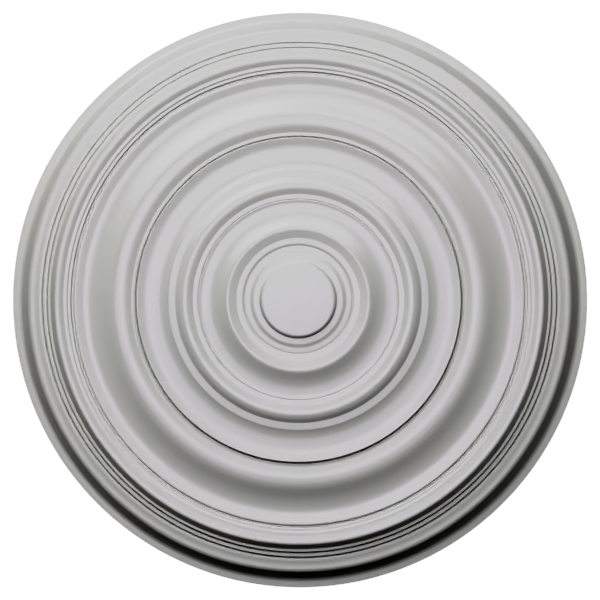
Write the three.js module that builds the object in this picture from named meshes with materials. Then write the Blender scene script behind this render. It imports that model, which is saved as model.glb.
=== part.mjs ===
// Ceiling rose: a one-piece round moulding, fixed flat to a ceiling with its face looking down.
// Millimetres, +Z up. The back lies in the ceiling plane z = 0 and the axis of the rings is Z.
import * as THREE from "three";

// Thickness left at the outermost edge.
const rimThickness = 5;

// The flat plate in the middle, where a lamp's canopy seats.
const plateRadius = 37.4;

// Every other member starts where the one inside it ends.
// width: its reach along the radius. fall: how far it steps back towards the ceiling over that
// reach, so a member that swells towards the room has a fall below zero. leave and settle: the
// parts of the width over which its curve leaves the level and settles back to it.
const plateEdge = { width: 4, fall: 2.7, leave: 2.8, settle: 0.2 };
const plateLedge = { width: 5.1, fall: 0.2, settle: 5.1 };
const innerOgee = { width: 5.9, fall: 0.85, leave: 2.6, settle: 3.1 };
const innerFillet = { width: 4.1, fall: 0 };
const innerGrooveFall = { width: 1, fall: 0.25 };
const innerGrooveRise = { width: 2.2, fall: -0.6 };
const innerBand = { width: 5.8, fall: 0 };
const innerSwell = { width: 9.9, fall: -1.4, leave: 0.6, settle: 1.8 };
const innerHollow = { width: 21.5, fall: 4.6, leave: 3.6, settle: 13.5 };
const innerBed = { width: 4.5, fall: 0.25 };
const rollToe = { width: 5, fall: -0.5, leave: 5 };
const rollGroove = { width: 1.2, depth: 0.4 };
const rollFillet = { width: 4.5, fall: 0 };
const rollBack = { width: 9.9, fall: -1.4, leave: 1.2, settle: 5.5 };
const rollFront = { width: 10, fall: 3.3, leave: 6.9, settle: 1.2 };
const coveFillet = { width: 6.6, fall: 0.25 };
const cove = { width: 11.9, fall: 2.1, leave: 0.5, settle: 11.2 };
const coveBed = { width: 8, fall: 0.2 };
const ringSwell = { width: 14, fall: -1.6, leave: 9 };
const ringLip = { width: 0.5, fall: 0 };
const ringStep = { width: 0.8, fall: 2.3 };
const ringCrack = { width: 1.5, depth: 2.6 };
const waveToe = { width: 3.2, fall: 0.35, settle: 3.2 };
const waveBack = { width: 13, fall: -1.8, leave: 0.6, settle: 9 };
const waveTop = { width: 3.1, fall: 0.1 };
const waveFront = { width: 32.8, fall: 7.25, leave: 9.5, settle: 18.8 };
const waveBed = { width: 11.3, fall: -1.5, leave: 5 };
const reedLip = { width: 2, fall: 0 };
const channelFall = { width: 1.1, fall: 1.9 };
const reedRise = { width: 0.5, fall: -0.6 };
const reedTop = { width: 0.7, fall: 0 };
const reedFall = { width: 0.5, fall: 0.6 };
const channelRise = { width: 1.1, fall: -1.9 };
const channelFillet = { width: 2.9, fall: 0.1 };
const smallStep = { width: 1.3, fall: -0.6 };
const crownFillet = { width: 3.2, fall: 0.1 };
const crownBack = { width: 8, fall: -1.35, leave: 0.6, settle: 5 };
const crownFront = { width: 6.9, fall: 5.7, leave: 2.5, settle: 0.2 };
const upperFillet = { width: 2.7, fall: 0.15 };
const upperStep = { width: 0.8, fall: 2.8 };
const upperCrack = { width: 1.1, depth: 1.5 };
const lowerFillet = { width: 3.5, fall: 0.15 };
const lowerStep = { width: 0.8, fall: 2.2 };
const lowerCrack = { width: 1.2, depth: 1.7 };
const footFillet = { width: 2.5, fall: 0.12 };
const footHollow = { width: 6.6, fall: 0.7, leave: 1, settle: 5.2 };
const footTop = { width: 1.8, fall: 0 };
const footFront = { width: 16, fall: 12.23, leave: 4.6, settle: 5 };
const footFlare = { width: 5.6, fall: 0.3 };

// Fineness of the faceted solid: its sides, and how far a facet may stand off its arc.
const facetsAround = 60;
const facetError = 0.2;

// A straight shorter than this is left out between two arcs.
const shortest = 0.001;

// A groove or a crack is a fall followed by an equal rise.
function vee(groove) {
  const side = groove.width / 2;
  return [
    { width: side, fall: groove.depth },
    { width: side, fall: -groove.depth },
  ];
}

const members = [
  plateEdge,
  plateLedge,
  innerOgee,
  innerFillet,
  innerGrooveFall,
  innerGrooveRise,
  innerBand,
  innerSwell,
  innerHollow,
  innerBed,
  rollToe,
  ...vee(rollGroove),
  rollFillet,
  rollBack,
  rollFront,
  coveFillet,
  cove,
  coveBed,
  ringSwell,
  ringLip,
  ringStep,
  ...vee(ringCrack),
  waveToe,
  waveBack,
  waveTop,
  waveFront,
  waveBed,
  reedLip,
  channelFall,
  reedRise,
  reedTop,
  reedFall,
  channelRise,
  channelFillet,
  smallStep,
  crownFillet,
  crownBack,
  crownFront,
  upperFillet,
  upperStep,
  ...vee(upperCrack),
  lowerFillet,
  lowerStep,
  ...vee(lowerCrack),
  footFillet,
  footHollow,
  footTop,
  footFront,
  footFlare,
];

// The slope of a member's straight part, as an angle, when arcs ease it in over leave and out over
// settle. An arc that turns through the angle a over a width w falls by w * tan(a / 2).
function straightAngle(width, fall, eased) {
  let low = 0;
  let high = Math.PI / 2;
  for (let i = 0; i < 50; i++) {
    const angle = (low + high) / 2;
    const reached = eased * Math.tan(angle / 2) + (width - eased) * Math.tan(angle);
    if (reached < Math.abs(fall)) low = angle;
    else high = angle;
  }
  return low * Math.sign(fall);
}

// The arc that turns through angle over a width, and the steps that keep its facets close to it.
// An arc whose corner comes as close as that has none, and its member starts or ends sharp.
function arcOf(width, angle) {
  const radius = width / Math.sin(Math.abs(angle));
  const corner = radius * (1 / Math.cos(angle / 2) - 1);
  if (!(corner > facetError)) return { radius: 0, steps: 0 };
  const turnPerStep = 2 * Math.acos(1 - facetError / radius);
  return { radius: radius * Math.sign(angle), steps: Math.ceil(Math.abs(angle) / turnPerStep) };
}

// Points of one member after its start: an arc out of level, a straight, an arc back to level.
function memberPoints(start, { width, fall, leave = 0, settle = 0 }) {
  const easeIn = Math.min(leave, width);
  const easeOut = Math.min(settle, width - easeIn);
  const straight = width - easeIn - easeOut;
  const angle = straightAngle(width, fall, easeIn + easeOut);
  const points = [];
  const place = (across, down) => points.push(new THREE.Vector2(start.x + across, start.y + down));
  const arcIn = arcOf(easeIn, angle);
  for (let i = 1; i <= arcIn.steps; i++) {
    const turned = (angle * i) / arcIn.steps;
    place(arcIn.radius * Math.sin(turned), arcIn.radius * (1 - Math.cos(turned)));
  }
  const arcOut = arcOf(easeOut, angle);
  for (let i = straight > shortest ? 0 : 1; i < arcOut.steps; i++) {
    const left = angle * (1 - i / arcOut.steps);
    place(width - arcOut.radius * Math.sin(left), fall - arcOut.radius * (1 - Math.cos(left)));
  }
  if (easeIn < width || arcIn.steps === 0) place(width, fall);
  return points;
}

// The whole section as radius and fall below the plate's face, from the plate's edge outwards.
function sectionPoints() {
  const points = [new THREE.Vector2(plateRadius, 0)];
  for (const member of members) points.push(...memberPoints(points.at(-1), member));
  return points;
}

function roseGeometry() {
  const face = sectionPoints();
  const projection = face.at(-1).y + rimThickness;
  const outline = face.map((point) => new THREE.Vector2(point.x, point.y - projection));
  outline.unshift(new THREE.Vector2(0, -projection));
  outline.push(new THREE.Vector2(outline.at(-1).x, 0), new THREE.Vector2(0, 0));
  const geometry = new THREE.LatheGeometry(outline, facetsAround);
  geometry.rotateX(Math.PI / 2);
  return geometry;
}

const primedWhite = new THREE.MeshStandardMaterial({
  color: 0xdedddf,
  roughness: 0.5,
  metalness: 0,
});

const rose = new THREE.Group();
const moulding = new THREE.Mesh(roseGeometry(), primedWhite);
moulding.name = "ceiling_rose";
rose.add(moulding);

export default rose;
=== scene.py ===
import math

import bpy
from mathutils import Matrix, Vector


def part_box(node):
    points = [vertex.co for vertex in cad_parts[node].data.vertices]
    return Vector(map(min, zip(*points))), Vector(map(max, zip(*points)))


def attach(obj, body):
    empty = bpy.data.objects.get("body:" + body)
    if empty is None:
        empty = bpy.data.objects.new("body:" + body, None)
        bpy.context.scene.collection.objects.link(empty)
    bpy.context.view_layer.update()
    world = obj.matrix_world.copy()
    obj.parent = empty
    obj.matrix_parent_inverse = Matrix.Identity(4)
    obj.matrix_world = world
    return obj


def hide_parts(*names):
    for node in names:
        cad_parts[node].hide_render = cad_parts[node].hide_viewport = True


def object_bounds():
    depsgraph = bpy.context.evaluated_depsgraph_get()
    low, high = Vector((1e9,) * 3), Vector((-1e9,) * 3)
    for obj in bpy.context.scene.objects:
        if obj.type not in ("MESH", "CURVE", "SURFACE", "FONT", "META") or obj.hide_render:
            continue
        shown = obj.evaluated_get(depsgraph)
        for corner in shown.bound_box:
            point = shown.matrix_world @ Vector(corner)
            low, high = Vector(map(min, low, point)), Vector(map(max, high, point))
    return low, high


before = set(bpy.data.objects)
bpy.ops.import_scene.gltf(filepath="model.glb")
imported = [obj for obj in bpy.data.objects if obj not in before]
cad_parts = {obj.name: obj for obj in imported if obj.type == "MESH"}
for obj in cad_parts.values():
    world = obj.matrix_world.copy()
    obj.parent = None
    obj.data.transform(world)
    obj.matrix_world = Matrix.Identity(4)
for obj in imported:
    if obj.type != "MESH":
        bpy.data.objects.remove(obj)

millimetre = 0.001
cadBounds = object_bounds()
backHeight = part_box("ceiling_rose")[1].z  # the flat back, in the plane of the ceiling
print("frame loaded")


roseShape = {
    "plateRadius": 37.4,
    "rim": 5.0,
    "sides": 256,  # round the axis
    "arcError": 0.012,  # how far a facet may stand off its arc
    "arcTurn": 5.0,  # degrees that one facet may turn
    "softness": 0.3,  # how far from each arris the cast edge starts to turn
    "softShare": 0.45,  # and the most of the straight beside it that this may take
    "arrisTurn": 6.5,  # degrees from which a corner counts as an arris
    "softTurn": 15.0,  # degrees that one facet of a rounded arris may turn
    "sharpTurn": 35.0,  # degrees over which the shading is split
    "nothing": 1e-6,  # a reach or an angle below this is none
    "halvings": 50,
}


# One member of the moulding, in millimetres. across: its reach along the radius. fall: its step
# back towards the ceiling, negative where it swells. leave, settle: the parts of the reach that
# curve out of level and back to level. depth: of a groove or a crack.
def member(across, fall=0.0, leave=0.0, settle=0.0, depth=0.0):
    return {"across": across, "fall": fall, "leave": leave, "settle": settle, "depth": depth}


# From the edge of the centre plate outwards.
moulding = {
    "plateEdge": member(4.0, 2.7, leave=2.8, settle=0.2),
    "plateLedge": member(5.1, 0.2, settle=5.1),
    "innerOgee": member(5.9, 0.85, leave=2.6, settle=3.1),
    "innerFillet": member(4.1),
    "innerGrooveFall": member(1.0, 0.25),
    "innerGrooveRise": member(2.2, -0.6),
    "innerBand": member(5.8),
    "innerSwell": member(9.9, -1.4, leave=0.6, settle=1.8),
    "innerHollow": member(21.5, 4.6, leave=3.6, settle=13.5),
    "innerBed": member(4.5, 0.25),
    "rollToe": member(5.0, -0.5, leave=5.0),
    "rollGroove": member(1.2, depth=0.4),
    "rollFillet": member(4.5),
    "rollBack": member(9.9, -1.4, leave=1.2, settle=5.5),
    "rollFront": member(10.0, 3.3, leave=6.9, settle=1.2),
    "coveFillet": member(6.6, 0.25),
    "cove": member(11.9, 2.1, leave=0.5, settle=11.2),
    "coveBed": member(8.0, 0.2),
    "ringSwell": member(14.0, -1.6, leave=9.0),
    "ringLip": member(0.5),
    "ringStep": member(0.8, 2.3),
    "ringCrack": member(1.5, depth=2.6),
    "waveToe": member(3.2, 0.35, settle=3.2),
    "waveBack": member(13.0, -1.8, leave=0.6, settle=9.0),
    "waveTop": member(3.1, 0.1),
    "waveFront": member(32.8, 7.25, leave=9.5, settle=18.8),
    "waveBed": member(11.3, -1.5, leave=5.0),
    "reedLip": member(2.0),
    "channelFall": member(1.1, 1.9),
    "reedRise": member(0.5, -0.6),
    "reedTop": member(0.7),
    "reedFall": member(0.5, 0.6),
    "channelRise": member(1.1, -1.9),
    "channelFillet": member(2.9, 0.1),
    "smallStep": member(1.3, -0.6),
    "crownFillet": member(3.2, 0.1),
    "crownBack": member(8.0, -1.35, leave=0.6, settle=5.0),
    "crownFront": member(6.9, 5.7, leave=2.5, settle=0.2),
    "upperFillet": member(2.7, 0.15),
    "upperStep": member(0.8, 2.8),
    "upperCrack": member(1.1, depth=1.5),
    "lowerFillet": member(3.5, 0.15),
    "lowerStep": member(0.8, 2.2),
    "lowerCrack": member(1.2, depth=1.7),
    "footFillet": member(2.5, 0.12),
    "footHollow": member(6.6, 0.7, leave=1.0, settle=5.2),
    "footTop": member(1.8),
    "footFront": member(16.0, 12.23, leave=4.6, settle=5.0),
    "footFlare": member(5.6, 0.3),
}


# The slope of a member's straight part. An arc that turns through an angle over a reach w falls by
# w * tan(angle / 2), so the slope is found by halving.
def straightAngle(across, fall, eased):
    low, high = 0.0, math.pi / 2
    for _ in range(roseShape["halvings"]):
        angle = (low + high) / 2
        if eased * math.tan(angle / 2) + (across - eased) * math.tan(angle) < abs(fall):
            low = angle
        else:
            high = angle
    return math.copysign(low, fall)


# How many facets an arc takes, and its radius.
def arcSteps(reach, angle):
    if reach <= 0 or abs(angle) < roseShape["nothing"]:
        return 0, 0.0
    radius = reach / math.sin(abs(angle))
    turn = 2 * math.acos(1 - min(1.0, roseShape["arcError"] / radius))
    turn = min(turn, math.radians(roseShape["arcTurn"]))
    return math.ceil(abs(angle) / turn), math.copysign(radius, angle)


# An arc out of level, a straight and an arc back to level, or a groove's two flanks.
def memberPoints(start, shape):
    across, fall = shape["across"], shape["fall"]
    if shape["depth"]:
        return [start + Vector((across / 2, shape["depth"])), start + Vector((across, 0))]
    easeIn = min(shape["leave"], across)
    easeOut = min(shape["settle"], across - easeIn)
    angle = straightAngle(across, fall, easeIn + easeOut)
    points = []
    steps, radius = arcSteps(easeIn, angle)
    for i in range(1, steps + 1):
        turned = angle * i / steps
        points.append((radius * math.sin(turned), radius * (1 - math.cos(turned))))
    steps, radius = arcSteps(easeOut, angle)
    straight = across - easeIn - easeOut
    for i in range(0 if straight > roseShape["nothing"] else 1, steps):
        left = angle * (1 - i / steps)
        points.append((across - radius * math.sin(left), fall - radius * (1 - math.cos(left))))
    if easeIn < across:
        points.append((across, fall))
    return [Vector((start.x + x, start.y + y)) for x, y in points]


# Each arris becomes a small curve, as a mould leaves it.
def softened(points, reach):
    soft = [points[0]]
    for before, corner, after in zip(points, points[1:], points[2:]):
        into, out = corner - before, after - corner
        turn = into.angle(out)
        if turn < math.radians(roseShape["arrisTurn"]):
            soft.append(corner)
            continue
        share = roseShape["softShare"]
        cut = min(reach, share * into.length, share * out.length)
        start, end = corner - into.normalized() * cut, corner + out.normalized() * cut
        steps = max(2, math.ceil(turn / math.radians(roseShape["softTurn"])))
        for i in range(steps + 1):
            t = i / steps
            soft.append(start * (1 - t) ** 2 + corner * 2 * t * (1 - t) + end * t**2)
    soft.append(points[-1])
    return soft


# Radius and fall below the plate, from the middle of the plate to the back of the rim.
def roseSection():
    points = [Vector((0.0, 0.0)), Vector((roseShape["plateRadius"], 0.0))]
    for shape in moulding.values():
        points += memberPoints(points[-1], shape)
    radius, depth = points[-1]
    points.append(Vector((radius, depth + roseShape["rim"])))
    return softened(points, roseShape["softness"])


# Turns the section about Z and closes it with the flat back.
def makeRose():
    section = roseSection()
    depth = section[-1].y
    sides = roseShape["sides"]
    place = [Vector((0, 0, backHeight - depth * millimetre))]
    faces = []
    rings = section[1:]
    for point in rings:
        reach, height = point.x * millimetre, backHeight - (depth - point.y) * millimetre
        for k in range(sides):
            around = 2 * math.pi * k / sides
            place.append(Vector((reach * math.sin(around), reach * math.cos(around), height)))
    for k in range(sides):
        after = (k + 1) % sides
        faces.append((0, 1 + k, 1 + after))
        for ring in range(len(rings) - 1):
            low, high = 1 + ring * sides, 1 + (ring + 1) * sides
            faces.append((low + k, high + k, high + after, low + after))
    last = 1 + (len(rings) - 1) * sides
    place.append(Vector((0, 0, backHeight)))
    middle = len(place) - 1
    for k in range(sides):
        faces.append((last + k, middle, last + (k + 1) % sides))
    mesh = bpy.data.meshes.new("rose")
    mesh.from_pydata(place, [], faces)
    mesh.validate()
    mesh.shade_smooth()
    mesh.set_sharp_from_angle(angle=math.radians(roseShape["sharpTurn"]))
    rose = bpy.data.objects.new("rose", mesh)
    bpy.context.collection.objects.link(rose)
    triangles = sum(len(face.vertices) - 2 for face in mesh.polygons)
    print("rose:", len(section), "points in the section,", triangles, "triangles")
    return rose


# One socket of a shader, so that shader maths can be written as an expression.
class Shade:
    def __init__(self, tree, socket):
        self.tree = tree
        self.socket = socket

    def node(self, kind, settings=None, **sockets):
        made = self.tree.nodes.new(kind)
        for name, value in (settings or {}).items():
            setattr(made, name, value)
        for name, value in sockets.items():
            key = int(name[1:]) if name[0] == "i" and name[1:].isdigit() else name.replace("_", " ")
            self.feed(made.inputs[key], value)
        return made

    def feed(self, socket, value):
        if isinstance(value, Shade):
            self.tree.links.new(value.socket, socket)
        else:
            socket.default_value = value

    def out(self, node, name=0):
        return Shade(self.tree, node.outputs[name])

    def maths(self, operation, first, second):
        return self.out(self.node("ShaderNodeMath", {"operation": operation}, i0=first, i1=second))

    def __add__(self, other):
        return self.maths("ADD", self, other)

    def __radd__(self, other):
        return self.maths("ADD", other, self)

    def __mul__(self, other):
        return self.maths("MULTIPLY", self, other)

    def __rmul__(self, other):
        return self.maths("MULTIPLY", other, self)

    def between(self, low, high):
        sockets = {"Value": self, "From_Min": low, "From_Max": high}
        return self.out(self.node("ShaderNodeMapRange", {"clamp": True}, **sockets))

    def mix(self, low, high):
        mixed = self.node("ShaderNodeMix", {"data_type": "RGBA"}, Factor=self, i6=low, i7=high)
        return self.out(mixed, 2)

    def noise(self, scale, detail=2.0, roughness=0.5):
        sockets = {"Vector": self, "Scale": scale, "Detail": detail, "Roughness": roughness}
        return self.out(self.node("ShaderNodeTexNoise", None, **sockets))


primer = {
    "white": (0.803, 0.797, 0.790, 1),
    "coolWhite": (0.790, 0.797, 0.783, 1),
    "sheen": (0.90, 0.80, 1.0, 1),  # tint of the reflection
    "sheenLevel": 0.56,
    "mottle": 9.0,  # patches of tint per metre
    "tintRange": (0.35, 0.65),  # of the noise, from the one white to the other
    "wipe": 108.0,  # patches of roughness per metre
    "grain": 500.0,  # sprayed texture, grains per metre
    "grainHeight": 0.00003,  # metres
    "roughness": (0.262, 0.278),
}


def primedWhite():
    material = bpy.data.materials.new("primed white")
    material.use_nodes = True
    tree = material.node_tree
    shader = tree.nodes["Principled BSDF"]
    surface = Shade(tree, tree.nodes.new("ShaderNodeTexCoord").outputs["Object"])
    mottle = surface.noise(primer["mottle"], detail=3.0)
    tint = mottle.between(*primer["tintRange"]).mix(primer["white"], primer["coolWhite"])
    grain = surface.noise(primer["grain"], detail=2.0, roughness=0.6)
    low, high = primer["roughness"]
    rough = low + surface.noise(primer["wipe"], detail=4.0) * (high - low)
    bump = surface.node(
        "ShaderNodeBump", None, Strength=1.0, Distance=primer["grainHeight"], Height=grain
    )
    surface.feed(shader.inputs["Base Color"], tint)
    surface.feed(shader.inputs["Roughness"], rough)
    surface.feed(shader.inputs["Normal"], surface.out(bump))
    shader.inputs["Specular IOR Level"].default_value = primer["sheenLevel"]
    shader.inputs["Specular Tint"].default_value = primer["sheen"]
    return material


room = {
    "floorBelow": 7.0,
    "floorSize": 60.0,
    "floorColour": (0.82, 0.82, 0.82, 1),
    "floorRoughness": 0.9,
    "floorGlow": 2.0,  # it glows, so that it is as pale as the background
    "ambient": 0.01,  # light from all round
    "background": 2.0,  # what the camera sees behind it all
}


def makeFloor():
    half = room["floorSize"] / 2
    height = backHeight - room["floorBelow"]
    mesh = bpy.data.meshes.new("floor")
    flat = [(-half, -half), (half, -half), (half, half), (-half, half)]
    mesh.from_pydata([(x, y, height) for x, y in flat], [], [(0, 1, 2, 3)])
    floor = bpy.data.objects.new("floor", mesh)
    bpy.context.collection.objects.link(floor)
    material = bpy.data.materials.new("pale floor")
    material.use_nodes = True
    shader = material.node_tree.nodes["Principled BSDF"]
    shader.inputs["Base Color"].default_value = room["floorColour"]
    shader.inputs["Roughness"].default_value = room["floorRoughness"]
    shader.inputs["Emission Color"].default_value = room["floorColour"]
    shader.inputs["Emission Strength"].default_value = room["floorGlow"]
    mesh.materials.append(material)
    floor.visible_diffuse = False  # its bounce would flatten the low light on the face
    floor.visible_glossy = False


def lightSky():
    world = bpy.data.worlds.new("studio")
    bpy.context.scene.world = world
    world.use_nodes = True
    tree = world.node_tree
    background = tree.nodes["Background"]
    rays = Shade(tree, tree.nodes.new("ShaderNodeLightPath").outputs["Is Camera Ray"])
    strength = rays * (room["background"] - room["ambient"]) + room["ambient"]
    background.inputs["Color"].default_value = (1, 1, 1, 1)
    rays.feed(background.inputs["Strength"], strength)


def lampOf(turn, rise, away, size, power, colour=(1, 1, 1)):
    return {"turn": turn, "rise": rise, "away": away, "size": size, "power": power, "colour": colour}


# Directions are as in the picture of the face: turn 0 is its right, 90 its top, and rise is above
# the face, towards the viewer. The last two light the back.
lamps = {
    "key": lampOf(118, 42, away=5.0, size=3.4, power=143.0, colour=(1, 1, 0.99)),
    "front": lampOf(135, 86, away=5.0, size=1.8, power=45.6),
    "side": lampOf(40, 42, away=5.0, size=3.0, power=6.0),
    "upper": lampOf(70, 54, away=5.0, size=2.4, power=60.0),
    "behind": lampOf(60, -52, away=4.0, size=3.0, power=120.0),
    "behindFar": lampOf(240, -52, away=4.0, size=3.0, power=110.0),
}


def makeLamp(name, lamp):
    turn, rise = math.radians(lamp["turn"]), math.radians(lamp["rise"])
    level = math.cos(rise)
    towards = Vector((math.cos(turn) * level, -math.sin(turn) * level, -math.sin(rise)))
    light = bpy.data.lights.new(name, "AREA")
    light.shape = "DISK"
    light.size = lamp["size"]
    light.energy = lamp["power"]
    light.color = lamp["colour"]
    source = bpy.data.objects.new(name, light)
    source.location = Vector((0, 0, backHeight)) + towards * lamp["away"]
    source.rotation_mode = "QUATERNION"
    source.rotation_quaternion = towards.to_track_quat("Z", "Y")
    source.visible_camera = False
    bpy.context.collection.objects.link(source)


# The frame and place of the photograph. Its tilt is an estimate.
photo = {
    "side": 600,
    "rimPixels": 287.1,  # from the middle of the rose to its rim
    "tilt": 1.8,  # degrees that the camera stands to the right of the axis
    "dip": 0.5,  # and below it
    "away": 3.05,
    "rightPixels": -0.7,
    "downPixels": 0.0,
    "sensor": 36.0,  # millimetres
    "clipEnd": 50.0,
}


def makeCamera():
    data = bpy.data.cameras.new("camera")
    camera = bpy.data.objects.new("camera", data)
    bpy.context.collection.objects.link(camera)
    bpy.context.scene.camera = camera
    tilt, dip = math.radians(photo["tilt"]), math.radians(photo["dip"])
    back = Vector((math.sin(tilt) * math.cos(dip), math.sin(dip), -math.cos(tilt) * math.cos(dip)))
    right = Vector((0, -1, 0)).cross(back).normalized()
    up = back.cross(right)
    turned = Matrix((right, up, back)).transposed().to_4x4()
    target = Vector((0, 0, backHeight - roseShape["rim"] * millimetre / 2))
    camera.matrix_world = Matrix.Translation(target + back * photo["away"]) @ turned
    radius = cadBounds[1].x
    width = radius * photo["side"] / photo["rimPixels"]
    data.sensor_width = photo["sensor"]
    data.lens = data.sensor_width * photo["away"] / width
    data.shift_x = -photo["rightPixels"] / photo["side"]
    data.shift_y = photo["downPixels"] / photo["side"]
    data.clip_end = photo["clipEnd"]


# The photograph has crushed shadows and flat highlights: a power curve from its black point up to
# the light grey of the level rings, and above it a gentle straight line to the background.
tone = {
    "black": 0.11,
    "power": 1.7,
    "kneeIn": 0.686,
    "kneeOut": 0.576,
    "highlightSlope": 0.42,
    "step": 0.035,
    "end": 2.0,
}


def toned(x):
    if x > tone["kneeIn"]:
        return tone["kneeOut"] + tone["highlightSlope"] * (x - tone["kneeIn"])
    share = max(0.0, x - tone["black"]) / (tone["kneeIn"] - tone["black"])
    return tone["kneeOut"] * share ** tone["power"]


def setTone():
    settings = bpy.context.scene.view_settings
    settings.view_transform = "Standard"
    settings.use_curve_mapping = True
    mapping = settings.curve_mapping
    mapping.use_clip = False
    curve = mapping.curves[3]
    curve.points[-1].location = (tone["end"], toned(tone["end"]))
    for i in range(1, round(1 / tone["step"]) + 1):
        x = i * tone["step"]
        curve.points.new(x, toned(x))
    mapping.update()


rose = makeRose()
rose.data.materials.append(primedWhite())
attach(rose, "root")
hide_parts("ceiling_rose")
print("rose finished")

makeFloor()
lightSky()
for name, lamp in lamps.items():
    makeLamp(name, lamp)
makeCamera()
setTone()
print("studio finished")
